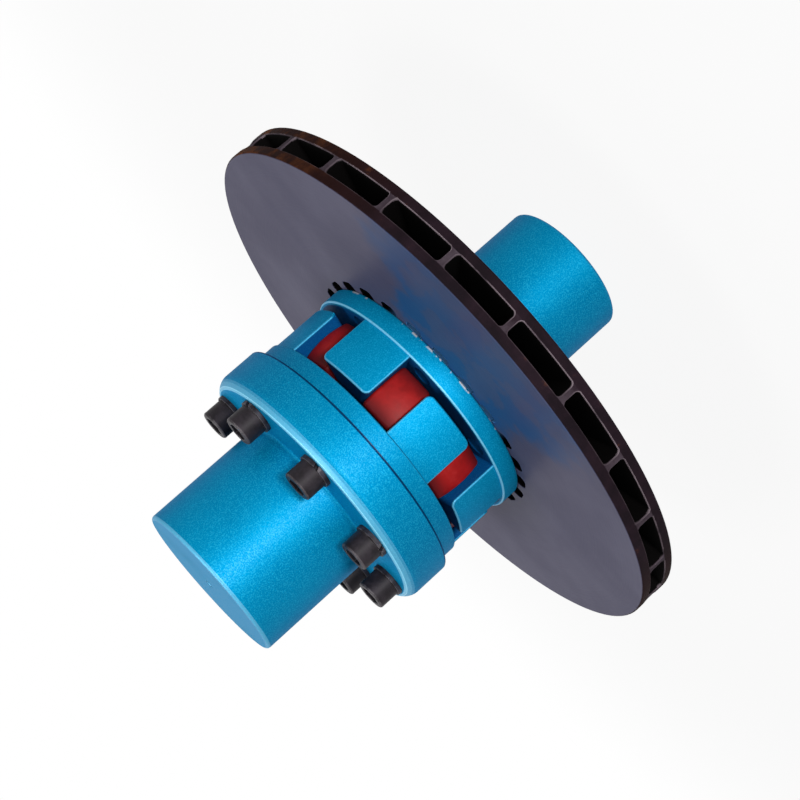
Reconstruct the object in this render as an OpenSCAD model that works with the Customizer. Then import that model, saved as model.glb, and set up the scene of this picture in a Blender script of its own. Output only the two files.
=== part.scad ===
// Jaw coupling with a ventilated brake disc, stood on the end of its brake hub.
// The shaft axis is Z. From the bottom up: brake hub, brake disc, claw ring, spider, claw ring, drive hub.
// All sizes are in millimetres and angles in degrees.

/* [Hubs] */
// Diameter of the drive hub
drive_hub_d = 127; // [110:1:160]
// Length of the drive hub above its flange
drive_hub_len = 100; // [60:1:160]
// Thickness of the drive hub's flange
drive_flange_t = 36; // [24:1:50]
// Chamfer on the drive flange's outer edge
drive_flange_chamfer = 5; // [2:0.5:6]
// Room from the screw circle to the rim of the drive flange
flange_margin = 21; // [20:0.5:30]
// Diameter of the brake hub
brake_hub_d = 108; // [80:1:130]
// Length of the brake hub below its flange
brake_hub_len = 98; // [60:1:160]
// Thickness of the brake hub's flange
brake_flange_t = 20; // [14:1:30]
// Chamfer on the end of a hub
hub_chamfer = 2; // [1:0.5:5]
// Fillet between a hub and its flange
hub_fillet = 3; // [1:0.5:5]
// Diameter of the spigots that centre the rings and the disc
spigot_d = 120; // [100:1:136]
// How far a spigot enters a claw ring
spigot_len = 6; // [4:0.5:10]
// Play of a spigot in its bore, on the diameter
spigot_clear = 0.2; // [0.1:0.05:0.4]
// Chamfer on fine machined edges
fine_edge = 1; // [0.5:0.1:1.2]
// Drill diameter of the centre holes in the hub ends
centre_d = 4; // [3:0.5:6]
// Mouth diameter of the centre holes
centre_mouth_d = 8; // [7:0.5:14]
// Depth of the centre holes below their countersink
centre_depth = 8; // [4:0.5:12]
// Angle of the centre holes' countersink
centre_angle = 60; // [60:15:90]

/* [Claw rings] */
// Room from the screw circle to the rim of a claw ring
ring_margin = 15; // [14:0.5:18]
// Thickness of a claw ring behind its claws
ring_t = 15; // [13:0.5:20]
// Number of claws on each ring
claw_count = 4; // [3:1:5]
// Gap between the faces of the two claw rings
jaw_gap = 49; // [40:1:60]
// Gap from a claw's tip to the opposite ring
tip_gap = 7; // [4:0.5:9]
// How far the outside of a claw lies below the rim
claw_drop = 1.5; // [1.2:0.1:3]
// Ledge from a ring's bore to the inside of its claws
claw_ledge = 4; // [2:0.5:6]
// Radius on the tip corners of a claw
claw_round = 5; // [2:0.5:6]
// Chamfer on the outer edges of a claw
claw_edge = 1.5; // [1:0.25:3]

/* [Spider] */
// Width of a lobe
lobe_w = 28; // [22:0.5:32]
// How far the ends of the lobes lie below the outside of the claws
lobe_drop = 8; // [3:0.5:12]
// Radius on the edges of a lobe
lobe_round = 5; // [2:0.5:6]
// Radius of the crowned end of a lobe
lobe_crown = 60; // [45:1:80]
// Play between a lobe and the claw beside it
lobe_play = 0.1; // [0.05:0.05:0.3]
// Gap from the spider to the face of each claw ring
spider_gap = 4; // [2:0.5:6]
// Wall of the ring that joins the lobes
spider_wall = 16; // [10:0.5:20]
// Room between that ring and the claws
spider_room = 2; // [1:0.5:4]
// How far that ring lies below the sides of the lobes
spider_web_drop = 3; // [1:0.5:5]

/* [Brake disc] */
// Outside diameter
disc_d = 450; // [360:5:520]
// Thickness over both friction faces
disc_t = 30; // [27:0.5:40]
// Thickness of each friction plate
plate_t = 8; // [6:0.5:9]
// Number of cooling vanes between the plates
vane_count = 24; // [16:8:24]
// Thickness of a vane
vane_t = 5; // [4:0.5:7]
// Radius where a vane runs into the plates
vane_fillet = 3.5; // [2:0.5:5]
// Width of an air inlet beside the claw ring
inlet_w = 16; // [12:0.5:18]
// How far an inlet shows past the claw ring
inlet_reach = 7; // [5:0.5:12]
// How far an inlet runs in under the claw ring
inlet_cover = 3; // [2:0.5:4]
// Corner radius of an inlet
inlet_round = 5; // [2:0.5:5]

/* [Screws] */
// Thread diameter
screw_d = 16; // [14:1:18]
// Diameter of the socket head
head_d = 24; // [22:0.5:27]
// Height of the socket head
head_h = 16; // [14:0.5:18]
// Width across the flats of the hexagon socket
socket_w = 14; // [12:0.5:15]
// Depth of the hexagon socket
socket_depth = 8; // [5:0.5:10]
// Length of thread held in a claw ring
thread_grip = 10.5; // [8:0.5:13]
// Play of a screw in its tapped hole, on the diameter
thread_clear = 0.1; // [0.05:0.05:0.2]
// Play of a screw in the flanges and the disc, on the diameter
hole_clear = 1.5; // [1:0.25:2]
// Outside diameter of a spring washer
washer_d = 27.4; // [26:0.2:29]
// Thickness of a spring washer
washer_t = 3.5; // [2.5:0.5:4]
// Play of a spring washer round its screw, on the diameter
washer_clear = 0.4; // [0.2:0.1:0.8]
// Width of the slit in a spring washer
washer_slit = 3; // [2:0.5:4]
// Slant of that slit
washer_slant = 25; // [0:5:30]
// Room between the drive hub and the spring washers
screw_room = 7.8; // [6:0.1:14]

/* [Hidden] */
$fn = 96;

// Overrun of a cut past the face that it opens
cut = 1;
// Depth by which a claw or vane is rooted in what carries it
root = 1;

// Radii, stacked outward from the drive hub
screw_r = drive_hub_d / 2 + screw_room + washer_d / 2;
ring_r = screw_r + ring_margin;
drive_flange_r = screw_r + flange_margin;
bore_r = (spigot_d + spigot_clear) / 2;
claw_r = ring_r - claw_drop;
claw_bore_r = bore_r + claw_ledge;
lobe_r = claw_r - lobe_drop;
spider_r = claw_bore_r - spider_room;
disc_r = disc_d / 2;
inlet_r = ring_r + inlet_reach;

// Heights, stacked upward from the end of the brake hub
disc_z = brake_hub_len + brake_flange_t;
brake_ring_z = disc_z + disc_t;
brake_face_z = brake_ring_z + ring_t;
drive_face_z = brake_face_z + jaw_gap;
drive_ring_z = drive_face_z + ring_t;
claw_h = jaw_gap - tip_gap;
spider_t = jaw_gap - 2 * spider_gap;
vent_h = disc_t - 2 * plate_t;

// A lobe stands between every two neighbouring claws, and a screw in line with every lobe
lobe_count = 2 * claw_count;
lobe_turn = 180 / lobe_count;
flank_y = lobe_w / 2 + lobe_play;
// Length that passes every edge of a claw ring
reach = 2 * ring_r;

// Rectangle with round corners
module round_rectangle(width, height, radius) {
    translate([radius, 0]) square([width - 2 * radius, height]);
    translate([0, radius]) square([width, height - 2 * radius]);
    for (x = [radius, width - radius], y = [radius, height - radius])
        translate([x, y]) circle(radius);
}

// Places its children on every screw of the screw circle
module on_screw_circle() {
    for (i = [0 : lobe_count - 1])
        rotate(lobe_turn + i * 360 / lobe_count) translate([screw_r, 0, 0]) children();
}

// Turned hub with a flange at its foot and a centring spigot below it; z = 0 is the flange's seat
module flanged_hub(hub_d, hub_len, flange_r, flange_t, flange_chamfer, spigot_h) {
    hub_r = hub_d / 2;
    spigot_r = spigot_d / 2;
    top = flange_t + hub_len;
    mouth_depth = (centre_mouth_d - centre_d) / 2 / tan(centre_angle / 2);
    difference() {
        rotate_extrude() {
            polygon([[0, -spigot_h], [spigot_r - fine_edge, -spigot_h], [spigot_r, fine_edge - spigot_h],
                     [spigot_r, 0], [flange_r - fine_edge, 0], [flange_r, fine_edge],
                     [flange_r, flange_t - flange_chamfer], [flange_r - flange_chamfer, flange_t],
                     [hub_r, flange_t], [hub_r, top - hub_chamfer], [hub_r - hub_chamfer, top], [0, top]]);
            translate([hub_r, flange_t]) difference() {
                square(hub_fillet);
                translate([hub_fillet, hub_fillet]) circle(hub_fillet);
            }
        }
        on_screw_circle() translate([0, 0, -cut])
            cylinder(d = screw_d + hole_clear, h = flange_t + 2 * cut);
        translate([0, 0, top - mouth_depth - centre_depth])
            cylinder(d = centre_d, h = mouth_depth + centre_depth + cut);
        translate([0, 0, top - mouth_depth])
            cylinder(d1 = centre_d, d2 = centre_mouth_d, h = mouth_depth);
    }
}

// All that lies on the claw's side of one flank, with a round tip corner and the lobe beside it along +X
module flank_side() {
    translate([0, -flank_y - reach, claw_h - reach]) rotate([90, 0, 90])
        linear_extrude(reach) round_rectangle(reach, reach, claw_round);
}

// Half of the plane to the right of the axis, less the two outer corners of a claw
module claw_plan() {
    corner_turn = lobe_turn - asin(flank_y / claw_r);
    // A chamfer leans midway between the outside of the claw and its flank
    chamfer_turn = (lobe_turn - corner_turn + 90) / 2;
    difference() {
        translate([0, -reach]) square([reach, 2 * reach]);
        for (side = [-1, 1]) rotate(side * corner_turn) translate([claw_r, 0]) rotate(side * chamfer_turn)
            translate([-claw_edge * sin(45), -reach]) square([reach, 2 * reach]);
    }
}

// One claw on the +X side, with flanks that run parallel to the lobes beside it
module claw() {
    intersection() {
        intersection() {
            rotate(lobe_turn) flank_side();
            mirror([0, 1, 0]) rotate(lobe_turn) flank_side();
        }
        translate([0, 0, -reach]) linear_extrude(2 * reach) claw_plan();
        rotate_extrude()
            polygon([[claw_bore_r, -root], [claw_r, -root], [claw_r, claw_h - claw_edge],
                     [claw_r - claw_edge - cut, claw_h + cut], [claw_bore_r, claw_h + cut]]);
    }
}

// Ring with its claws standing up; z = 0 is the face that carries them
module claw_ring() {
    difference() {
        union() {
            rotate_extrude()
                polygon([[bore_r, -ring_t], [ring_r - fine_edge, -ring_t], [ring_r, fine_edge - ring_t],
                         [ring_r, -fine_edge], [ring_r - fine_edge, 0], [bore_r, 0]]);
            for (i = [0 : claw_count - 1]) rotate(i * 360 / claw_count) claw();
        }
        on_screw_circle() translate([0, 0, -ring_t - cut])
            cylinder(d = screw_d + thread_clear, h = ring_t + 2 * cut);
    }
}

// Socket head screw pointing down; z = 0 is the seat under its head
module socket_screw(length) {
    difference() {
        rotate_extrude()
            polygon([[0, -length], [screw_d / 2 - fine_edge, -length], [screw_d / 2, fine_edge - length],
                     [screw_d / 2, 0], [head_d / 2, 0], [head_d / 2, head_h - fine_edge],
                     [head_d / 2 - fine_edge, head_h], [0, head_h]]);
        translate([0, 0, head_h - socket_depth])
            cylinder(d = socket_w / cos(30), h = socket_depth + cut, $fn = 6);
    }
}

// Split spring washer lying on z = 0, with its slanted slit on the +X side
module spring_washer() {
    difference() {
        cylinder(d = washer_d, h = washer_t);
        translate([0, 0, -cut]) cylinder(d = screw_d + washer_clear, h = washer_t + 2 * cut);
        translate([0, 0, washer_t / 2]) rotate([washer_slant, 0, 0])
            translate([0, -washer_slit / 2, -washer_t]) cube([washer_d, washer_slit, 2 * washer_t]);
    }
}

// Section of a vane with its fillets, centred on the gap between the plates
module vane_section() {
    width = vane_t + 2 * vane_fillet;
    // The fillets run a little into the plates, so that they never end as a bare feather edge
    sunk = vane_fillet / 10;
    pocket_h = vent_h + 2 * sunk;
    difference() {
        square([width, vent_h + 2 * root], center = true);
        for (side = [0, 1]) mirror([side, 0]) translate([vane_t / 2, -pocket_h / 2])
            round_rectangle(width, pocket_h, vane_fillet);
    }
}

module drive_hub() {
    color("deepskyblue") translate([0, 0, drive_ring_z])
        flanged_hub(drive_hub_d, drive_hub_len, drive_flange_r, drive_flange_t, drive_flange_chamfer,
                    spigot_len);
}

module brake_hub() {
    color("deepskyblue") translate([0, 0, disc_z]) mirror([0, 0, 1])
        flanged_hub(brake_hub_d, brake_hub_len, ring_r, brake_flange_t, fine_edge, disc_t + spigot_len);
}

module drive_claw_ring() {
    color("dodgerblue") translate([0, 0, drive_face_z]) mirror([0, 0, 1]) claw_ring();
}

module brake_claw_ring() {
    color("dodgerblue") translate([0, 0, brake_face_z]) rotate(2 * lobe_turn) claw_ring();
}

module spider() {
    web_h = spider_t - 2 * spider_web_drop;
    lobe_foot = spider_r - spider_wall / 2;
    color("firebrick") translate([0, 0, brake_face_z + spider_gap]) {
        rotate_extrude() translate([spider_r - spider_wall, spider_web_drop]) square([spider_wall, web_h]);
        intersection() {
            rotate_extrude() intersection() {
                translate([lobe_r - lobe_crown, spider_t / 2]) circle(lobe_crown);
                translate([0, -cut]) square([lobe_r + cut, spider_t + 2 * cut]);
            }
            for (i = [0 : lobe_count - 1]) rotate(lobe_turn + i * 360 / lobe_count)
                translate([lobe_foot, -lobe_w / 2, 0]) rotate([90, 0, 90])
                    linear_extrude(lobe_r) round_rectangle(lobe_w, spider_t, lobe_round);
        }
    }
}

module brake_disc() {
    vane_pitch = 360 / vane_count;
    inlet_inner_r = ring_r - inlet_cover;
    color("dimgray") translate([0, 0, disc_z]) difference() {
        union() {
            rotate_extrude() difference() {
                polygon([[bore_r, 0], [disc_r - fine_edge, 0], [disc_r, fine_edge], [disc_r, disc_t - fine_edge],
                         [disc_r - fine_edge, disc_t], [bore_r, disc_t]]);
                translate([ring_r, plate_t]) square([disc_r, vent_h]);
            }
            intersection() {
                cylinder(r = disc_r, h = disc_t);
                for (i = [0 : vane_count - 1]) rotate(i * vane_pitch)
                    translate([ring_r - root, 0, disc_t / 2]) rotate([90, 0, 90])
                        linear_extrude(disc_r) vane_section();
            }
        }
        for (i = [0 : vane_count - 1]) rotate((i + 0.5) * vane_pitch)
            translate([inlet_inner_r, 0, -cut]) linear_extrude(disc_t + 2 * cut) {
                translate([0, -inlet_w / 2]) square([inlet_r - inlet_inner_r - inlet_round, inlet_w]);
                translate([0, inlet_round - inlet_w / 2])
                    square([inlet_r - inlet_inner_r, inlet_w - 2 * inlet_round]);
                for (side = [-1, 1])
                    translate([inlet_r - inlet_inner_r - inlet_round, side * (inlet_w / 2 - inlet_round)])
                        circle(inlet_round);
            }
        on_screw_circle() translate([0, 0, -cut]) cylinder(d = screw_d + hole_clear, h = disc_t + 2 * cut);
    }
}

module drive_screws() {
    color("dimgray") translate([0, 0, drive_ring_z + drive_flange_t + washer_t])
        on_screw_circle() socket_screw(washer_t + drive_flange_t + thread_grip);
}

module drive_washers() {
    color("gray") translate([0, 0, drive_ring_z + drive_flange_t]) on_screw_circle() spring_washer();
}

module brake_screws() {
    color("dimgray") translate([0, 0, brake_hub_len - washer_t]) mirror([0, 0, 1])
        on_screw_circle() socket_screw(washer_t + brake_flange_t + disc_t + thread_grip);
}

module brake_washers() {
    color("gray") translate([0, 0, brake_hub_len]) mirror([0, 0, 1]) on_screw_circle() spring_washer();
}

drive_hub();
brake_hub();
drive_claw_ring();
brake_claw_ring();
spider();
brake_disc();
drive_screws();
drive_washers();
brake_screws();
brake_washers();
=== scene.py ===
import math

import bmesh
import bpy
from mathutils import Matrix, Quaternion, Vector


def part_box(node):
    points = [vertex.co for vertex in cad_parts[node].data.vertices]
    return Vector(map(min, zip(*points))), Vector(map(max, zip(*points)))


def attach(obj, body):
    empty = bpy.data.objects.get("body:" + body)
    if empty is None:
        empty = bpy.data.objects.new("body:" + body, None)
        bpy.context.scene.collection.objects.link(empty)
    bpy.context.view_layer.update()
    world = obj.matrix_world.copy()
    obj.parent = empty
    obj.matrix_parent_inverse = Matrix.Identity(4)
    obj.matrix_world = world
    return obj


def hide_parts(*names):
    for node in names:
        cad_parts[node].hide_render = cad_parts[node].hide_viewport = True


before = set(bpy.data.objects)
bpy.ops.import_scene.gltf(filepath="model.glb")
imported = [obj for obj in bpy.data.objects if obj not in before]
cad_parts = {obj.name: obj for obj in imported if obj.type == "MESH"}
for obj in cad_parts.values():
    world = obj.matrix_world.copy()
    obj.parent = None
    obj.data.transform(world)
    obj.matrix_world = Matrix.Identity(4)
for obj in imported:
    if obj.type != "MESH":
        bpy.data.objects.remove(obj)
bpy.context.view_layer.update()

# Brake hub: a pilot hub turned from one steel blank, with a flange drilled for the screws and a long
# spigot that centres the brake disc and its claw ring. It is sprayed with a blue metallic paint, and
# its closed end still has the lathe's centre hole.
MM = 0.001
SPIN_STEPS = 160
SAME_PLACE = 0.002 * MM
SHARP_CORNER = math.radians(30)
EDGE_STRIP = 0.75 * MM
SCREW_COUNT = 8
SCREW_CIRCLE_R = 85 * MM
FLANGE_HOLE_R = 8.75 * MM
HOLE_SIDES = 48
HOLE_OVERRUN = 1 * MM
SPIGOT_R = 60 * MM
BRAKE_HUB_R = 54 * MM
BRAKE_FLANGE_T = 20 * MM
BRAKE_FLANGE_CHAMFER = 1 * MM
HUB_END_EDGE = 2.5 * MM
HUB_FILLET = 3 * MM
TURNED_EDGE = 1.2 * MM
CENTRE_R = 2 * MM
CENTRE_MOUTH_R = 4 * MM
CENTRE_MOUTH_DEPTH = 3.5 * MM
CENTRE_DEPTH = 11.5 * MM
PAINT_BLUE = (0, 0.20, 0.385, 1)
PAINT_DEEP_BLUE = (0, 0.17, 0.345, 1)
PAINT_FLECK_BLUE = (0.006, 0.31, 0.51, 1)
PAINT_THIN_AND_HIGHLIGHT_BLUE = (0.26, 0.68, 0.86, 1)
PAINT_SCUFFED_BLUE = (0.039, 0.26, 0.49, 1)
PAINTED_SEAT_SHADOW_BLUE = (0, 0.026, 0.1, 1)
PAINTED_GAP_SHADE_BLUE = (0.002, 0.037, 0.17, 1)
PAINT_CLAW_HIGHLIGHT_BLUE = (0, 0.228, 0.435, 1)
PAINT_CLAW_HIGHLIGHT_FLECK_BLUE = (0.007, 0.36, 0.60, 1)
PAINT_CHIP_GREY = (0.55, 0.57, 0.62, 1)
PAINT_GRAZING_BLUE = (0, 0.4, 0.8, 1)
PAINT_FLECKS_PER_METRE = 1100
PAINT_CHIPS_PER_METRE = 75
PAINT_PEEL_PER_METRE = 380
PAINT_CLOUDS_PER_METRE = 16
PAINT_PEEL_DEPTH = 0.1 * MM
PAINT_FADE = 1 * MM
HUB_END_FROM = 0.6 * MM
HUB_END_FULL = 0.1 * MM
CLAW_GAP_R = 66 * MM
CLAW_GAP_END_R = 95 * MM
CLAW_WALL_R = 96.5 * MM
CLAW_WALL_FULL_R = 98 * MM
CLAW_HIGHLIGHT_FADES = 32 * MM
CLAW_HIGHLIGHT_ENDS = 10 * MM
RING_EDGE_R = 98.4 * MM
RING_EDGE_FULL_R = 98.9 * MM
FLANGE_CHAMFER_R = 100 * MM
JOINT_R = 96 * MM
JOINT_HALF_W = 1.2 * MM
JOINT_END_W = 1.8 * MM
CHIPPED_R = 98.5 * MM
CHIPPED_FULL_R = 99 * MM
CHIPPED_H = 1 * MM
CHIPPED_END_H = 2.5 * MM


class Socket:
    """One output of a shader tree. Arithmetic on it adds Math nodes."""

    def __init__(self, tree, output=None):
        self.tree = tree
        self.output = output

    def node(self, kind, settings, inputs, output=0):
        """Adds a node. Its settings come first, then the values or links of its inputs."""
        node = self.tree.nodes.new(kind)
        for name, value in settings.items():
            setattr(node, name, value)
        for name, value in inputs.items():
            if isinstance(value, Socket):
                self.tree.links.new(value.output, node.inputs[name])
            else:
                node.inputs[name].default_value = value
        return Socket(self.tree, node.outputs[output] if node.outputs else None)

    def math(self, operation, first, second=0.0):
        return self.node("ShaderNodeMath", {"operation": operation}, {0: first, 1: second})

    def __add__(self, other):
        return self.math("ADD", self, other)

    def __sub__(self, other):
        return self.math("SUBTRACT", self, other)

    def __mul__(self, other):
        return self.math("MULTIPLY", self, other)

    __radd__ = __add__
    __rmul__ = __mul__

    def __rsub__(self, other):
        return self.math("SUBTRACT", other, self)

    def rise(self, start, end):
        """0 below start and 1 above end, with a soft step between them."""
        return self.node("ShaderNodeMapRange", {"interpolation_type": "SMOOTHSTEP"},
                         {"Value": self, "From Min": start, "From Max": end})

    def blend(self, low, high):
        """The colour low where this value is 0, and high where it is 1."""
        return self.node("ShaderNodeMix", {"data_type": "RGBA"}, {0: self, 6: low, 7: high}, 2)

    def noise(self, per_metre, detail=2.0, roughness=0.5):
        """Even noise from 0 to 1 on this vector."""
        return self.node("ShaderNodeTexNoise", {},
                         {"Vector": self, "Scale": per_metre, "Detail": detail, "Roughness": roughness})

    def radius(self):
        """Distance of this position from the shaft axis."""
        across = self.node("ShaderNodeVectorMath", {"operation": "MULTIPLY"}, {0: self, 1: (1, 1, 0)})
        return self.node("ShaderNodeVectorMath", {"operation": "LENGTH"}, {0: across}, "Value")

    def bump(self, distance, strength=1.0):
        """A normal from this height."""
        return self.node("ShaderNodeBump", {}, {"Height": self, "Distance": distance, "Strength": strength})


def new_material(name):
    """An empty material, and a socket that its nodes are added with."""
    material = bpy.data.materials.new(name)
    material.use_nodes = True
    material.node_tree.nodes.clear()
    return material, Socket(material.node_tree)


def ends_in(tree, shader):
    """Makes this shader the surface of its material."""
    tree.node("ShaderNodeOutputMaterial", {}, {"Surface": shader})


def blue_paint():
    """Sprayed flecked metallic paint, thin on edges; painted highlight on claws and top edges, painted
    shade in gaps.
    """
    material, tree = new_material("sprayed_blue")
    place = tree.node("ShaderNodeTexCoord", {}, {}, "Object")
    clouds = place.noise(PAINT_CLOUDS_PER_METRE, 3.0)
    flecks = place.noise(PAINT_FLECKS_PER_METRE, 1.0)
    peel = place.noise(PAINT_PEEL_PER_METRE, 2.0)
    edge = tree.node("ShaderNodeAttribute", {"attribute_name": "edge"}, {}, "Fac")
    height = tree.node("ShaderNodeSeparateXYZ", {}, {0: place}, "Z")
    facing_up = tree.node("ShaderNodeAttribute", {"attribute_name": "facing_up"}, {}, "Fac")
    radius = place.radius()
    hub_ends = height.rise(drive_hub_high.z - HUB_END_FROM, drive_hub_high.z - HUB_END_FULL)
    hub_ends = hub_ends + (1 - height.rise(brake_hub_low.z + HUB_END_FULL, brake_hub_low.z + HUB_END_FROM))
    between_claws = radius.rise(CLAW_GAP_R, CLAW_GAP_R + PAINT_FADE)
    between_claws = between_claws * (1 - radius.rise(CLAW_GAP_END_R, CLAW_GAP_END_R + PAINT_FADE))
    # Edges are paler where the paint is thin; up-facing edges and the flange's chamfer also get a painted
    # highlight.
    painted_chamfer_highlight = facing_up.rise(0.3, 0.6) * (1 - facing_up.rise(0.8, 0.95))
    painted_chamfer_highlight = painted_chamfer_highlight * radius.rise(FLANGE_CHAMFER_R, FLANGE_CHAMFER_R + 2 * PAINT_FADE)
    thin_paint_and_highlight = edge * facing_up.rise(-0.3, 0.3) * (1 - between_claws)
    thin_paint_and_highlight = thin_paint_and_highlight * (0.3 + radius.rise(RING_EDGE_R, RING_EDGE_FULL_R) * 0.2) + painted_chamfer_highlight * 0.3
    above_disc = height.rise(disc_high.z + PAINT_FADE, disc_high.z + 2 * PAINT_FADE)
    outer_wall = radius.rise(CLAW_WALL_R, CLAW_WALL_FULL_R)
    # Between the claws the paint is darkened and dulled: painted shade in the gaps.
    painted_gap_shade = (1 - outer_wall) * above_disc
    painted_gap_shade = painted_gap_shade * (1 - height.rise(ring_seat - 2 * PAINT_FADE, ring_seat - PAINT_FADE))
    # The claws and the brake ring's wall are painted lighter: a painted highlight.
    painted_claw_highlight = outer_wall * above_disc
    painted_claw_highlight = painted_claw_highlight * (1 - height.rise(ring_seat - CLAW_HIGHLIGHT_FADES, ring_seat - CLAW_HIGHLIGHT_ENDS))
    # A dark band at the flange's seat: a painted shadow under the flange's overhang.
    from_seat = tree.math("ABSOLUTE", height - ring_seat)
    painted_seat_shadow = radius.rise(JOINT_R, JOINT_R + PAINT_FADE) * (1 - from_seat.rise(JOINT_HALF_W, JOINT_END_W))
    at_foot = height.rise(disc_high.z - PAINT_FADE, disc_high.z)
    at_foot = at_foot * (1 - height.rise(disc_high.z + CHIPPED_H, disc_high.z + CHIPPED_END_H))
    chips = at_foot * radius.rise(CHIPPED_R, CHIPPED_FULL_R)
    chips = chips * place.noise(PAINT_CHIPS_PER_METRE, 3.0, 0.7).rise(0.58, 0.62)
    colour = clouds.rise(0.3, 0.7).blend(PAINT_DEEP_BLUE, PAINT_BLUE)
    colour = painted_claw_highlight.blend(colour, PAINT_CLAW_HIGHLIGHT_BLUE)
    fleck_colour = painted_claw_highlight.blend(PAINT_FLECK_BLUE, PAINT_CLAW_HIGHLIGHT_FLECK_BLUE)
    colour = (flecks.rise(0.42, 0.72) * 0.75).blend(colour, fleck_colour)
    colour = thin_paint_and_highlight.blend(colour, PAINT_THIN_AND_HIGHLIGHT_BLUE)
    colour = (hub_ends * clouds.rise(0.2, 0.6) * 0.8).blend(colour, PAINT_SCUFFED_BLUE)
    colour = (painted_gap_shade * 0.85).blend(colour, PAINTED_GAP_SHADE_BLUE)
    colour = (painted_seat_shadow * 0.9).blend(colour, PAINTED_SEAT_SHADOW_BLUE)
    colour = chips.blend(colour, PAINT_CHIP_GREY)
    ends_in(tree, tree.node("ShaderNodeBsdfPrincipled", {}, {
        "Base Color": colour,
        "Metallic": 0.5 * (1 - hub_ends) * (1 - painted_gap_shade),
        "Roughness": 0.51 + flecks * 0.08,
        "Specular IOR Level": 0.05,
        "Specular Tint": PAINT_GRAZING_BLUE,
        "Coat Weight": thin_paint_and_highlight * 0.8 + flecks.rise(0.35, 0.75) * 0.12 * (1 - hub_ends),
        "Coat Roughness": 0.32,
        "Normal": (peel + flecks * 0.6).bump(PAINT_PEEL_DEPTH, 0.5),
    }))
    return material


def turned(profile, closed=False):
    """A solid of revolution about the shaft axis, from corners of (radius, height, edge length).

    It ends half a step round, so that none of its edges lies in line with a claw or a screw.
    """
    mesh = bmesh.new()
    corners = [mesh.verts.new((radius, 0, height)) for radius, height, _ in profile]
    followers = corners[1:] + corners[:1] if closed else corners[1:]
    for corner, follower in zip(corners, followers):
        mesh.edges.new((corner, follower))
    for corner, (_, _, edge) in zip(corners, profile):
        if edge:
            bmesh.ops.bevel(mesh, geom=[corner], offset=edge, affect="VERTICES", segments=4,
                            profile=0.5, material=-1)
    bmesh.ops.spin(mesh, geom=mesh.verts[:] + mesh.edges[:], cent=(0, 0, 0), axis=(0, 0, 1),
                   angle=math.tau, steps=SPIN_STEPS, use_merge=True)
    bmesh.ops.remove_doubles(mesh, verts=mesh.verts, dist=SAME_PLACE)
    bmesh.ops.recalc_face_normals(mesh, faces=mesh.faces)
    half_step = Quaternion((0, 0, 1), math.pi / SPIN_STEPS)
    bmesh.ops.rotate(mesh, verts=mesh.verts, cent=(0, 0, 0), matrix=half_step.to_matrix())
    return mesh


def hub_profile(hub_r, flange_r, flange_t, chamfer, spigot_h, length):
    """Half section of a hub, with heights measured from the flange's seat to the hub's end."""
    return [
        (0, -spigot_h, 0),
        (SPIGOT_R, -spigot_h, TURNED_EDGE),
        (SPIGOT_R, 0, 0),
        (flange_r, 0, TURNED_EDGE),
        (flange_r, flange_t - chamfer, 0.8 * chamfer),
        (flange_r - chamfer, flange_t, 0.3 * chamfer),
        (hub_r, flange_t, HUB_FILLET),
        (hub_r, length, HUB_END_EDGE),
        (CENTRE_MOUTH_R, length, 0.1 * CENTRE_MOUTH_R),
        (CENTRE_R, length - CENTRE_MOUTH_DEPTH, 0),
        (CENTRE_R, length - CENTRE_DEPTH, 0),
        (0, length - CENTRE_DEPTH, 0),
    ]


def screw_holes(hole_r, low, high):
    """The holes of the screw circle, as plugs that run a little past both faces."""
    plugs = []
    for index in range(SCREW_COUNT):
        plug = bmesh.new()
        bmesh.ops.create_cone(plug, cap_ends=True, segments=HOLE_SIDES, radius1=hole_r, radius2=hole_r,
                              depth=high - low + 2 * HOLE_OVERRUN)
        bmesh.ops.translate(plug, verts=plug.verts, vec=(SCREW_CIRCLE_R, 0, (low + high) / 2))
        turn = Quaternion((0, 0, 1), (index + 0.5) * math.tau / SCREW_COUNT)
        bmesh.ops.rotate(plug, verts=plug.verts, cent=(0, 0, 0), matrix=turn.to_matrix())
        plugs.append(plug)
    return plugs


def helper_object(mesh):
    """An object that only takes part in joining and cutting meshes."""
    data = bpy.data.meshes.new("helper")
    mesh.to_mesh(data)
    mesh.free()
    helper = bpy.data.objects.new("helper", data)
    bpy.context.scene.collection.objects.link(helper)
    return helper


def combined(body, others, operation):
    """One closed mesh from a body and the meshes that are joined to it or cut out of it."""
    helpers = [helper_object(mesh) for mesh in [body] + others]
    for other in helpers[1:]:
        step = helpers[0].modifiers.new("step", "BOOLEAN")
        step.operation = operation
        step.object = other
    shape = helpers[0].evaluated_get(bpy.context.evaluated_depsgraph_get())
    mesh = bmesh.new()
    mesh.from_mesh(shape.to_mesh())
    for helper in helpers:
        data = helper.data
        bpy.data.objects.remove(helper)
        bpy.data.meshes.remove(data)
    bmesh.ops.dissolve_degenerate(mesh, edges=mesh.edges, dist=SAME_PLACE)
    return mesh


def finished(name, mesh, material, node):
    """Turns a mesh into the piece that is seen in place of a solid, its broken edges marked."""
    edge = mesh.faces.layers.float.new("edge")
    facing_up = mesh.faces.layers.float.new("facing_up")
    for face in mesh.faces:
        face[edge] = 2 * face.calc_area() < EDGE_STRIP * face.calc_perimeter()
        face[facing_up] = face.normal.z
    for side in mesh.edges:
        side.smooth = side.calc_face_angle(0) < SHARP_CORNER
    data = bpy.data.meshes.new(name)
    mesh.to_mesh(data)
    mesh.free()
    data.shade_smooth()
    data.materials.append(material)
    piece = bpy.data.objects.new(name, data)
    bpy.context.scene.collection.objects.link(piece)
    normals = piece.modifiers.new("flat_face_normals", "WEIGHTED_NORMAL")
    normals.keep_sharp = True
    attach(piece, "root")
    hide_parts(node)
    return piece


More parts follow.
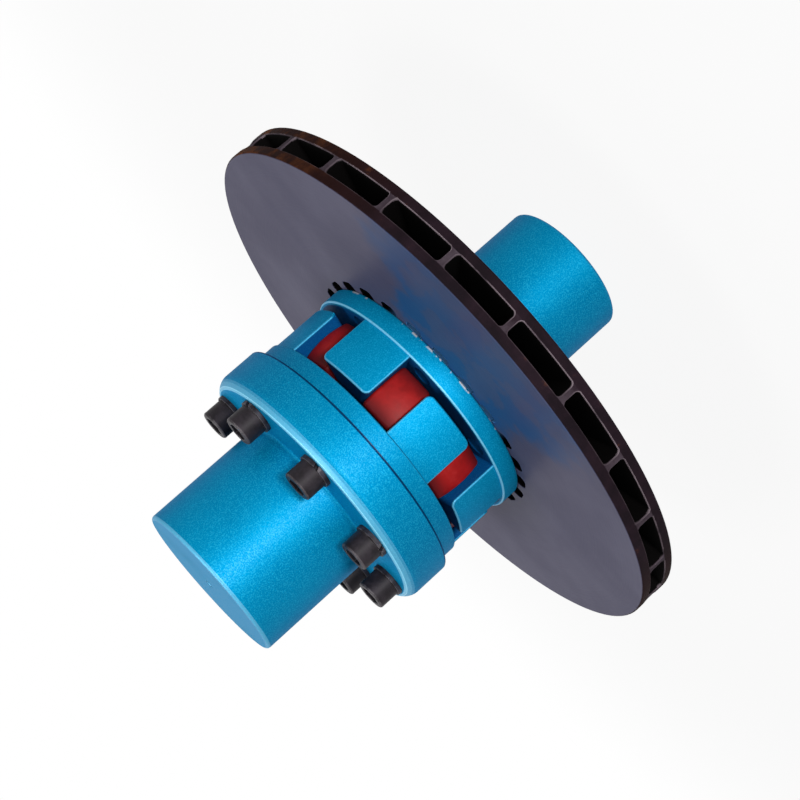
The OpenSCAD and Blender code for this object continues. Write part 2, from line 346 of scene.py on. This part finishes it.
brake_hub_low, brake_hub_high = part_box("brake_hub")
drive_hub_low, drive_hub_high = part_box("drive_hub")
disc_low, disc_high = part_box("brake_disc")
ring_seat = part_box("drive_claw_ring")[1].z
paint = blue_paint()
brake_hub = turned([(radius, disc_low.z - height, edge) for radius, height, edge in hub_profile(
    BRAKE_HUB_R, brake_hub_high.x, BRAKE_FLANGE_T, BRAKE_FLANGE_CHAMFER,
    brake_hub_high.z - disc_low.z, disc_low.z - brake_hub_low.z)])
brake_holes = screw_holes(FLANGE_HOLE_R, disc_low.z - BRAKE_FLANGE_T, disc_low.z)
brake_hub = combined(brake_hub, brake_holes, "DIFFERENCE")
finished("painted_brake_hub", brake_hub, paint, "brake_hub")

# Brake disc: one ventilated grey iron casting, two friction plates joined by radial vanes. Both faces
# are turned and then stained, along one side by blue paint that also got into the air inlets, with a
# painted reflection of the blue claw ring on that side. The rim stays dark and rusty, and the ducts
# and inlets are painted near-black as painted shade.
DISC_EDGE = 0.7 * MM
PLATE_T = 8 * MM
FLAT_ENOUGH = math.radians(0.5)
FACE_GREY = (0.058, 0.054, 0.095, 1)
FACE_PALE_GREY = (0.091, 0.086, 0.137, 1)
SMEAR_AND_REFLECTION_BLUE = (0.0085, 0.070, 0.20, 1)
CASTING_BLACK = (0.0070, 0.0042, 0.0062, 1)
CASTING_BROWN = (0.015, 0.0080, 0.012, 1)
RUSTY_BROWN = (0.014, 0.0030, 0.0012, 1)
DUCT_SHADE_BLACK = (0.001, 0.0007, 0.0007, 1)
OVERSPRAY_BLUE = (0.09, 0.27, 0.55, 1)
RUST = (0.22, 0.072, 0.021, 1)
VANE_END_GREY = (0.058, 0.044, 0.055, 1)
LIP_GLINT_GREY = (0.2, 0.16, 0.18, 1)
FACE_SHEEN = (0.88, 0.84, 1, 1)
CAST_SKIN_DEPTH = 0.15 * MM
RIM_FROM = 1.2 * MM
RIM_FULL = 0.8 * MM
MOUTHS_FROM = 2 * MM
MOUTHS_FULL = 1 * MM
DUCT_FADE = 0.5 * MM
INLETS_REACH = 112 * MM
INLETS_FADE = 1 * MM
OVERSPRAY_DEPTH = 4 * MM
OVERSPRAY_END_DEPTH = 6 * MM
TURNING_LINES_PER_METRE = 600
TURNING_DEPTH = 0.12 * MM
STAINS_PER_METRE = 9
RUST_SPOTS_PER_METRE = 42
SMEARS_PER_METRE = 26
SMEARED_SIDE = (0.27, -0.96, 0)
SMEARS_FADE_R = 130 * MM
SMEARS_FAINT_R = 210 * MM
RUSTY_SIDES_FROM = 130 * MM
RUSTY_SIDES_FULL = 200 * MM
RUSTIEST_SIDE_FROM = 185 * MM
RUSTIEST_SIDE_FULL = 225 * MM


def eased_copy(node, edge):
    """A copy of a solid's mesh with every sharp edge broken."""
    mesh = bmesh.new()
    mesh.from_mesh(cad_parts[node].data)
    bmesh.ops.remove_doubles(mesh, verts=mesh.verts, dist=SAME_PLACE)
    bmesh.ops.dissolve_limit(mesh, angle_limit=FLAT_ENOUGH, verts=mesh.verts, edges=mesh.edges)
    sharp = [side for side in mesh.edges if side.calc_face_angle(0) > SHARP_CORNER]
    bmesh.ops.bevel(mesh, geom=sharp, offset=edge, affect="EDGES", segments=3, profile=0.5, material=-1)
    return mesh


def disc_iron():
    """Turned grey iron on the friction faces, dark cast skin with rust elsewhere, painted shade in the
    ducts.
    """
    material, tree = new_material("turned_iron")
    place = tree.node("ShaderNodeTexCoord", {}, {}, "Object")
    radius = place.radius()
    height = tree.node("ShaderNodeSeparateXYZ", {}, {0: place}, "Z")
    from_middle = tree.math("ABSOLUTE", height - (disc_low.z + disc_high.z) / 2)
    half_t = (disc_high.z - disc_low.z) / 2
    on_face = from_middle.rise(half_t - 0.6 * DISC_EDGE, half_t - 0.1 * DISC_EDGE)
    on_rim = radius.rise(disc_high.x - RIM_FROM, disc_high.x - RIM_FULL)
    duct_half = half_t - PLATE_T
    between_plates = 1 - from_middle.rise(duct_half, duct_half + DUCT_FADE)

    stains = place.noise(STAINS_PER_METRE, 4.0, 0.6)
    spots = place.noise(RUST_SPOTS_PER_METRE, 5.0, 0.65)
    rings = tree.node("ShaderNodeCombineXYZ", {}, {"X": radius, "Y": height}).noise(
        TURNING_LINES_PER_METRE, 2.0, 0.7)
    face = (stains.rise(0.3, 0.7) * 0.7 + rings * 0.3).blend(FACE_GREY, FACE_PALE_GREY)
    sideways = tree.node("ShaderNodeVectorMath", {"operation": "DOT_PRODUCT"},
                         {0: place, 1: SMEARED_SIDE}, "Value")
    patches = place.noise(SMEARS_PER_METRE, 5.0, 0.6)
    smeared_side = tree.math("DIVIDE", sideways, radius)
    # The smeared side has blue paint smears, deepened into a painted reflection of the blue claw ring.
    smears_and_reflection = (smeared_side + patches * 0.35).rise(0.99, 1.12)
    smears_and_reflection = smears_and_reflection * (0.5 + patches.rise(0.47, 0.53) * 0.3)
    smears_and_reflection = smears_and_reflection * (1 - 0.5 * radius.rise(SMEARS_FADE_R, SMEARS_FAINT_R))
    face = smears_and_reflection.blend(face, SMEAR_AND_REFLECTION_BLUE)
    cast = spots.rise(0.35, 0.7).blend(CASTING_BLACK, CASTING_BROWN)
    across = tree.node("ShaderNodeSeparateXYZ", {}, {0: place}, "X")
    rusty_sides = tree.math("ABSOLUTE", across).rise(RUSTY_SIDES_FROM, RUSTY_SIDES_FULL)
    cast = (rusty_sides * 0.7).blend(cast, RUSTY_BROWN)
    rustiest_side = across.rise(RUSTIEST_SIDE_FROM, RUSTIEST_SIDE_FULL)
    cast = (spots.rise(0.62, 0.78) * 0.4 + rustiest_side * spots.rise(0.40, 0.70) * 0.6).blend(cast, RUST)
    vane_end = spots.rise(0.3, 0.7).blend(VANE_END_GREY, CASTING_BROWN)
    # Inlets are painted near-black as painted shade, except for blue overspray in their mouths on the
    # smeared side.
    oversprayed = height.rise(disc_high.z - OVERSPRAY_END_DEPTH, disc_high.z - OVERSPRAY_DEPTH)
    oversprayed = oversprayed * smeared_side.rise(0.76, 0.87)
    inlet = oversprayed.blend(DUCT_SHADE_BLACK, OVERSPRAY_BLUE)
    cast = radius.rise(INLETS_REACH, INLETS_REACH + INLETS_FADE).blend(inlet, cast)
    # The ducts between the plates are painted near-black: painted shade.
    colour = between_plates.blend(cast, on_rim.blend(DUCT_SHADE_BLACK, vane_end))
    edge = tree.node("ShaderNodeAttribute", {"attribute_name": "edge"}, {}, "Fac")
    at_mouths = radius.rise(disc_high.x - MOUTHS_FROM, disc_high.x - MOUTHS_FULL)
    at_mouths = at_mouths * (1 - from_middle.rise(duct_half + DISC_EDGE, duct_half + 1.5 * DISC_EDGE))
    hub_side = 1 - height.rise(disc_low.z + 0.4 * half_t, disc_high.z - 0.7 * half_t)
    # Pale lips at the duct mouths, stronger on the hub side: painted glints where light catches the edges.
    lip_glints = edge * at_mouths * spots.rise(0.3, 0.6) * (0.15 + hub_side * 0.6)
    colour = lip_glints.blend(colour, LIP_GLINT_GREY)
    cast_skin = tree.node("ShaderNodeBsdfPrincipled", {}, {
        "Base Color": colour,
        "Roughness": 0.7 + spots * 0.2,
        "Specular IOR Level": 0.05,
        "Normal": spots.bump(CAST_SKIN_DEPTH, 0.5),
    })
    turned_face = tree.node("ShaderNodeBsdfPrincipled", {}, {
        "Base Color": face,
        "Roughness": 0.46 - stains * 0.1,
        "Specular IOR Level": 0.03,
        "Specular Tint": FACE_SHEEN,
        "Normal": rings.bump(TURNING_DEPTH),
    })
    ends_in(tree, tree.node("ShaderNodeMixShader", {}, {0: on_face, 1: cast_skin, 2: turned_face}))
    return material


finished("turned_brake_disc", eased_copy("brake_disc", DISC_EDGE), disc_iron(), "brake_disc")

# Claw ring on the brake side: a steel ring with four claws standing on it, milled from one forging
# and painted like the hubs, with its claws and wall painted lighter as a painted highlight. The brake
# hub's screws go into its tapped holes and pull it against the disc.
RING_T = 15 * MM
RING_BORE_R = 60.1 * MM
TAPPED_HOLE_R = 8.05 * MM
CLAW_COUNT = 4
CLAW_R = 98.5 * MM
CLAW_BORE_R = 64.1 * MM
CLAW_ROOT = 1 * MM
CLAW_TIP_ROUND = 5 * MM
CLAW_EDGE = 1.3 * MM
CLAW_STEPS = 8
CLAW_BORE_STEPS = 4
LOBE_PITCH = math.tau / (2 * CLAW_COUNT)
FLANK_FROM_LOBE = 14.1 * MM


def flank_angle(radius):
    """How far round from the middle of a claw its flank lies at this radius."""
    return LOBE_PITCH / 2 - math.asin(FLANK_FROM_LOBE / radius)


def claw(height):
    """One claw on the +X side, its foot sunk a little below z = 0, with round tips and edges."""
    mesh = bmesh.new()
    ends = []
    for radius, steps in ((CLAW_R, CLAW_STEPS), (CLAW_BORE_R, CLAW_BORE_STEPS)):
        half = flank_angle(radius)
        start = mesh.verts.new((radius * math.cos(half), -radius * math.sin(half), -CLAW_ROOT))
        arc = bmesh.ops.spin(mesh, geom=[start], cent=(0, 0, 0), axis=(0, 0, 1), angle=2 * half,
                             steps=steps)
        ends.append((start, arc["geom_last"][0]))
    for outer, inner in zip(*ends):
        mesh.edges.new((outer, inner))
    bmesh.ops.edgeloop_fill(mesh, edges=mesh.edges[:])
    grown = bmesh.ops.extrude_face_region(mesh, geom=mesh.faces[:])
    tip = [part for part in grown["geom"] if isinstance(part, bmesh.types.BMVert)]
    bmesh.ops.translate(mesh, verts=tip, vec=(0, 0, height + CLAW_ROOT))
    bmesh.ops.recalc_face_normals(mesh, faces=mesh.faces)

    tip_corners = [side for side in mesh.edges if side.calc_face_angle(0) > SHARP_CORNER
                   and min(end.co.z for end in side.verts) > height - SAME_PLACE
                   and abs(side.verts[0].co.xy.length - side.verts[1].co.xy.length) > CLAW_TIP_ROUND]
    bmesh.ops.bevel(mesh, geom=tip_corners, offset=CLAW_TIP_ROUND, affect="EDGES", segments=8,
                    profile=0.5, material=-1)
    sharp = [side for side in mesh.edges if side.calc_face_angle(0) > SHARP_CORNER
             and max(end.co.z for end in side.verts) > -CLAW_ROOT + SAME_PLACE]
    bmesh.ops.bevel(mesh, geom=sharp, offset=CLAW_EDGE, affect="EDGES", segments=4, profile=0.5,
                    material=-1)
    return mesh


def claw_ring(ring_r, claw_h, first_claw):
    """Ring with its claws standing up; z = 0 is the face that carries them."""
    ring = turned([(RING_BORE_R, -RING_T, TURNED_EDGE), (ring_r, -RING_T, TURNED_EDGE),
                   (ring_r, 0, TURNED_EDGE), (RING_BORE_R, 0, TURNED_EDGE)], closed=True)
    claws = []
    for index in range(CLAW_COUNT):
        claws.append(claw(claw_h))
        turn = Quaternion((0, 0, 1), first_claw + index * math.tau / CLAW_COUNT)
        bmesh.ops.rotate(claws[-1], verts=claws[-1].verts, cent=(0, 0, 0), matrix=turn.to_matrix())
    ring = combined(ring, claws, "UNION")
    return combined(ring, screw_holes(TAPPED_HOLE_R, -RING_T, 0), "DIFFERENCE")


ring_low, ring_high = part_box("brake_claw_ring")
brake_ring_face = ring_low.z + RING_T
brake_ring = claw_ring(ring_high.x, ring_high.z - brake_ring_face, LOBE_PITCH)
bmesh.ops.translate(brake_ring, verts=brake_ring.verts, vec=(0, 0, brake_ring_face))
finished("painted_brake_claw_ring", brake_ring, paint, "brake_claw_ring")

# Screws and spring washers of the brake side: M16 socket head screws in black oxide, each on a split
# spring washer, that clamp the brake hub's flange and the disc to the claw ring.
FASTENER_EDGE = 0.4 * MM
OXIDE_BLACK = (0.01, 0.0078, 0.01, 1)
OXIDE_BROWN = (0.023, 0.018, 0.023, 1)
WORN_STEEL = (0.098, 0.088, 0.095, 1)
WASHER_GREY = (0.036, 0.035, 0.047, 1)
HANDLING_MARKS_PER_METRE = 130
HANDLING_DEPTH = 0.08 * MM


def dark_steel(name, base, tint):
    """Blackened steel, rubbed paler along its edges."""
    material, tree = new_material(name)
    place = tree.node("ShaderNodeTexCoord", {}, {}, "Object")
    marks = place.noise(HANDLING_MARKS_PER_METRE, 4.0, 0.6)
    edge = tree.node("ShaderNodeAttribute", {"attribute_name": "edge"}, {}, "Fac")
    colour = marks.rise(0.35, 0.7).blend(base, tint)
    colour = (edge * marks.rise(0.3, 0.6) * 0.6).blend(colour, WORN_STEEL)
    ends_in(tree, tree.node("ShaderNodeBsdfPrincipled", {}, {
        "Base Color": colour,
        "Metallic": 0.3,
        "Roughness": 0.42 + marks * 0.25,
        "Specular IOR Level": 0.22,
        "Normal": marks.bump(HANDLING_DEPTH, 0.4),
    }))
    return material


black_steel = dark_steel("black_oxide", OXIDE_BLACK, OXIDE_BROWN)
washer_steel = dark_steel("phosphated_spring_steel", OXIDE_BLACK, WASHER_GREY)
finished("blackened_brake_screws", eased_copy("brake_screws", FASTENER_EDGE), black_steel,
         "brake_screws")
finished("split_brake_washers", eased_copy("brake_washers", FASTENER_EDGE), washer_steel,
         "brake_washers")

# Spider: one star of red cast polyurethane. Eight lobes on a ring fill the gaps between the claws of
# the two rings and carry the torque, and their ends are crowned.
LOBE_W = 28 * MM
LOBE_R = 90.5 * MM
LOBE_EDGE = 2.8 * MM
LOBE_CROWN = 60 * MM
SPIDER_R = 62.1 * MM
SPIDER_WALL = 16 * MM
SPIDER_WEB_DROP = 3 * MM
WEB_EDGE = 3 * MM
RED = (0.32, 0.0090, 0.0090, 1)
DEEP_RED = (0.22, 0.0065, 0.0065, 1)
RUBBED_RED = (0.47, 0.031, 0.029, 1)
GRIME_AND_SHADE_RED = (0.06, 0.004, 0.006, 1)
GRIME_AND_SHADE_REACH = 11 * MM
GRIME_AND_SHADE_OVERRUN = 2 * MM
GRIME_AND_SHADE_WANDER = 4 * MM
FLOW_MARKS_PER_METRE = 60
FINE_MARKS_PER_METRE = 480
FLOW_DEPTH = 0.12 * MM


def red_elastomer():
    """Cast polyurethane: satin, a little cloudy, rubbed paler in places, darker at both ends: grime and
    painted shade.
    """
    material, tree = new_material("cast_polyurethane")
    place = tree.node("ShaderNodeTexCoord", {}, {}, "Object")
    flow = place.noise(FLOW_MARKS_PER_METRE, 3.0, 0.6)
    fine = place.noise(FINE_MARKS_PER_METRE, 2.0)
    colour = flow.rise(0.3, 0.6).blend(DEEP_RED, RED)
    colour = (flow.rise(0.55, 0.75) * 0.5).blend(colour, RUBBED_RED)
    height = tree.node("ShaderNodeSeparateXYZ", {}, {0: place}, "Z")
    from_middle = tree.math("ABSOLUTE", height - (spider_low.z + spider_high.z) / 2)
    half_h = (spider_high.z - spider_low.z) / 2
    # Both ends of each lobe, by the claw rings, are darker: grime and painted shade.
    grime_and_shade = (from_middle + flow * GRIME_AND_SHADE_WANDER).rise(half_h - GRIME_AND_SHADE_REACH, half_h + GRIME_AND_SHADE_OVERRUN)
    colour = (grime_and_shade * 0.9).blend(colour, GRIME_AND_SHADE_RED)
    ends_in(tree, tree.node("ShaderNodeBsdfPrincipled", {}, {
        "Base Color": colour,
        "Roughness": 0.38 + flow * 0.2,
        "Specular IOR Level": 0.12,
        "Normal": (flow + fine * 0.4).bump(FLOW_DEPTH, 0.4),
    }))
    return material


def lobe(height):
    """One lobe on the +X side, standing on z = 0, with a crowned end and round edges."""
    mesh = bmesh.new()
    foot = SPIDER_R - SPIDER_WALL / 2
    bmesh.ops.create_cube(mesh, size=1)
    bmesh.ops.scale(mesh, verts=mesh.verts, vec=(LOBE_R - foot, LOBE_W, height))
    bmesh.ops.translate(mesh, verts=mesh.verts, vec=((LOBE_R + foot) / 2, 0, height / 2))
    for axis in (1, 2):
        along = [side for side in mesh.edges
                 if abs(side.verts[0].co[axis] - side.verts[1].co[axis]) > LOBE_W / 2]
        bmesh.ops.subdivide_edges(mesh, edges=along, cuts=2 * axis, use_grid_fill=True)
    for end in mesh.verts:
        if end.co.x > LOBE_R - SAME_PLACE:
            across = LOBE_R - math.sqrt(LOBE_R ** 2 - end.co.y ** 2)
            along = LOBE_CROWN - math.sqrt(LOBE_CROWN ** 2 - (end.co.z - height / 2) ** 2)
            end.co.x -= across + along
    sharp = [side for side in mesh.edges if side.calc_face_angle(0) > SHARP_CORNER]
    bmesh.ops.bevel(mesh, geom=sharp, offset=LOBE_EDGE, affect="EDGES", segments=5, profile=0.5,
                    material=-1)
    return mesh


spider_low, spider_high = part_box("spider")
spider_h = spider_high.z - spider_low.z
web = turned([(SPIDER_R - SPIDER_WALL, SPIDER_WEB_DROP, WEB_EDGE), (SPIDER_R, SPIDER_WEB_DROP, WEB_EDGE),
              (SPIDER_R, spider_h - SPIDER_WEB_DROP, WEB_EDGE),
              (SPIDER_R - SPIDER_WALL, spider_h - SPIDER_WEB_DROP, WEB_EDGE)], closed=True)
lobes = []
for index in range(2 * CLAW_COUNT):
    lobes.append(lobe(spider_h))
    bmesh.ops.rotate(lobes[-1], verts=lobes[-1].verts, cent=(0, 0, 0),
                     matrix=Quaternion((0, 0, 1), (index + 0.5) * LOBE_PITCH).to_matrix())
spider = combined(web, lobes, "UNION")
bmesh.ops.translate(spider, verts=spider.verts, vec=(0, 0, spider_low.z))
finished("moulded_spider", spider, red_elastomer(), "spider")

# Claw ring on the drive side: the same ring turned over and set half a claw pitch round, so that its
# claws stand in the gaps of the other ring.
drive_ring_low, drive_ring_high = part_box("drive_claw_ring")
drive_ring_face = drive_ring_high.z - RING_T
drive_ring = claw_ring(drive_ring_high.x, drive_ring_face - drive_ring_low.z, 0)
bmesh.ops.scale(drive_ring, verts=drive_ring.verts, vec=(1, 1, -1))
bmesh.ops.translate(drive_ring, verts=drive_ring.verts, vec=(0, 0, drive_ring_face))
bmesh.ops.recalc_face_normals(drive_ring, faces=drive_ring.faces)
finished("painted_drive_claw_ring", drive_ring, paint, "drive_claw_ring")

# Drive hub: the thicker hub, with a heavy drilled flange whose outer edge has a broad chamfer. It is
# turned from one blank and painted like the rest, and its end is closed until it is bored for a shaft.
DRIVE_HUB_R = 63.5 * MM
DRIVE_FLANGE_T = 36 * MM
DRIVE_FLANGE_CHAMFER = 5 * MM
drive_hub = turned([(radius, drive_ring_high.z + height, edge) for radius, height, edge in hub_profile(
    DRIVE_HUB_R, drive_hub_high.x, DRIVE_FLANGE_T, DRIVE_FLANGE_CHAMFER,
    drive_ring_high.z - drive_hub_low.z, drive_hub_high.z - drive_ring_high.z)])
drive_holes = screw_holes(FLANGE_HOLE_R, drive_ring_high.z, drive_ring_high.z + DRIVE_FLANGE_T)
drive_hub = combined(drive_hub, drive_holes, "DIFFERENCE")
finished("painted_drive_hub", drive_hub, paint, "drive_hub")

# Screws and spring washers of the drive side: the same M16 screws, shorter, round the drive hub. They
# hold the flange to its claw ring.
finished("blackened_drive_screws", eased_copy("drive_screws", FASTENER_EDGE), black_steel,
         "drive_screws")
finished("split_drive_washers", eased_copy("drive_washers", FASTENER_EDGE), washer_steel,
         "drive_washers")

# Floor and background: a pale round floor that the coupling stands on. Seen directly or in a
# reflection it is white, as the world is, and it keeps a faint shadow of the coupling.
FLOOR_R = 2.4
FLOOR_PALE = (0.55, 0.55, 0.55, 1)
FLOOR_WHITE_SHARE = 0.92
SHADOW_FADE_START = 0.5
SHADOW_FADE_END = 1.4
WHITE = (1, 1, 1, 1)
AMBIENT = 0.04


def seen_directly(tree):
    """1 for rays that come straight from the camera or off a glossy or clear surface."""
    path = tree.tree.nodes.new("ShaderNodeLightPath")
    rays = [Socket(tree.tree, path.outputs[f"Is {kind} Ray"])
            for kind in ("Camera", "Glossy", "Transmission")]
    return tree.math("MINIMUM", rays[0] + rays[1] + rays[2], 1.0)


floor_mesh = bmesh.new()
bmesh.ops.create_circle(floor_mesh, cap_ends=True, segments=96, radius=FLOOR_R)
floor_data = bpy.data.meshes.new("floor")
floor_mesh.to_mesh(floor_data)
floor_mesh.free()
floor = bpy.data.objects.new("floor", floor_data)
bpy.context.scene.collection.objects.link(floor)
floor_material, floor_tree = new_material("floor")
floor_place = floor_tree.node("ShaderNodeTexCoord", {}, {}, "Object")
from_object = floor_tree.node("ShaderNodeVectorMath", {"operation": "LENGTH"}, {0: floor_place}, "Value")
fade = from_object.rise(SHADOW_FADE_START, SHADOW_FADE_END)
white_share = FLOOR_WHITE_SHARE + fade * (1 - FLOOR_WHITE_SHARE)
floor_shader = floor_tree.node("ShaderNodeMixShader", {}, {
    0: seen_directly(floor_tree) * white_share,
    1: floor_tree.node("ShaderNodeBsdfDiffuse", {}, {"Color": FLOOR_PALE}),
    2: floor_tree.node("ShaderNodeEmission", {}, {"Color": WHITE})})
ends_in(floor_tree, floor_shader)
floor_data.materials.append(floor_material)

world = bpy.data.worlds.new("white_studio")
world.use_nodes = True
world.node_tree.nodes.clear()
world_tree = Socket(world.node_tree)
seen = seen_directly(world_tree)
world_tree.node("ShaderNodeOutputWorld", {}, {"Surface": world_tree.node(
    "ShaderNodeBackground", {}, {"Color": WHITE, "Strength": AMBIENT + seen * (1 - AMBIENT)})})
bpy.context.scene.world = world

# Lights: a soft key level with the coupling on the camera's side, a small flash just above the camera,
# a broad softbox overhead for the faces that look up, and a weak lamp behind for the far side.
MIDDLE = Vector((0, 0, 0.18))
VIEW_AZIMUTH = math.radians(-74.34)


def soft_light(name, azimuth, elevation, distance, size, level):
    """A square lamp that lights a white surface facing it to this level."""
    lamp = bpy.data.lights.new(name, "AREA")
    lamp.size = size
    lamp.energy = level * (math.pi * distance) ** 2
    light = bpy.data.objects.new(name, lamp)
    bpy.context.scene.collection.objects.link(light)
    direction = Vector((math.cos(azimuth) * math.cos(elevation), math.sin(azimuth) * math.cos(elevation),
                        math.sin(elevation)))
    light.location = MIDDLE + direction * distance
    light.rotation_euler = direction.to_track_quat("Z", "Y").to_euler()
    light.visible_camera = False


soft_light("key", azimuth=VIEW_AZIMUTH - math.radians(6), elevation=0, distance=2.0, size=0.34,
           level=0.81)
soft_light("flash", azimuth=VIEW_AZIMUTH, elevation=math.radians(16), distance=1.8, size=0.16,
           level=0.17)
soft_light("overhead", azimuth=VIEW_AZIMUTH + math.radians(20), elevation=math.radians(72), distance=1.6,
           size=0.7, level=0.55)
soft_light("back", azimuth=VIEW_AZIMUTH + math.pi, elevation=math.radians(58), distance=2.2, size=1.2,
           level=0.27)

# Camera: a long lens that looks a little down on the coupling and is rolled, so that the shaft axis
# runs from the upper right of the picture to the lower left.
LENS = 83.06
SENSOR_WIDTH = 36
VIEW_ELEVATION = math.radians(13.63)
VIEW_DISTANCE = 1.381
VIEW_ROLL = math.radians(131.59)
VIEW_TARGET = Vector((0.0076, 0.0021, 0.1658))
view = bpy.data.cameras.new("camera")
view.lens = LENS
view.sensor_width = SENSOR_WIDTH
camera = bpy.data.objects.new("camera", view)
bpy.context.scene.collection.objects.link(camera)
towards_camera = Vector((math.cos(VIEW_AZIMUTH) * math.cos(VIEW_ELEVATION),
                         math.sin(VIEW_AZIMUTH) * math.cos(VIEW_ELEVATION), math.sin(VIEW_ELEVATION)))
camera.location = VIEW_TARGET + towards_camera * VIEW_DISTANCE
upright = towards_camera.to_track_quat("Z", "Y")
camera.rotation_euler = (upright @ Quaternion((0, 0, 1), -VIEW_ROLL)).to_euler()
bpy.context.scene.camera = camera
bpy.context.scene.view_settings.view_transform = "Standard"
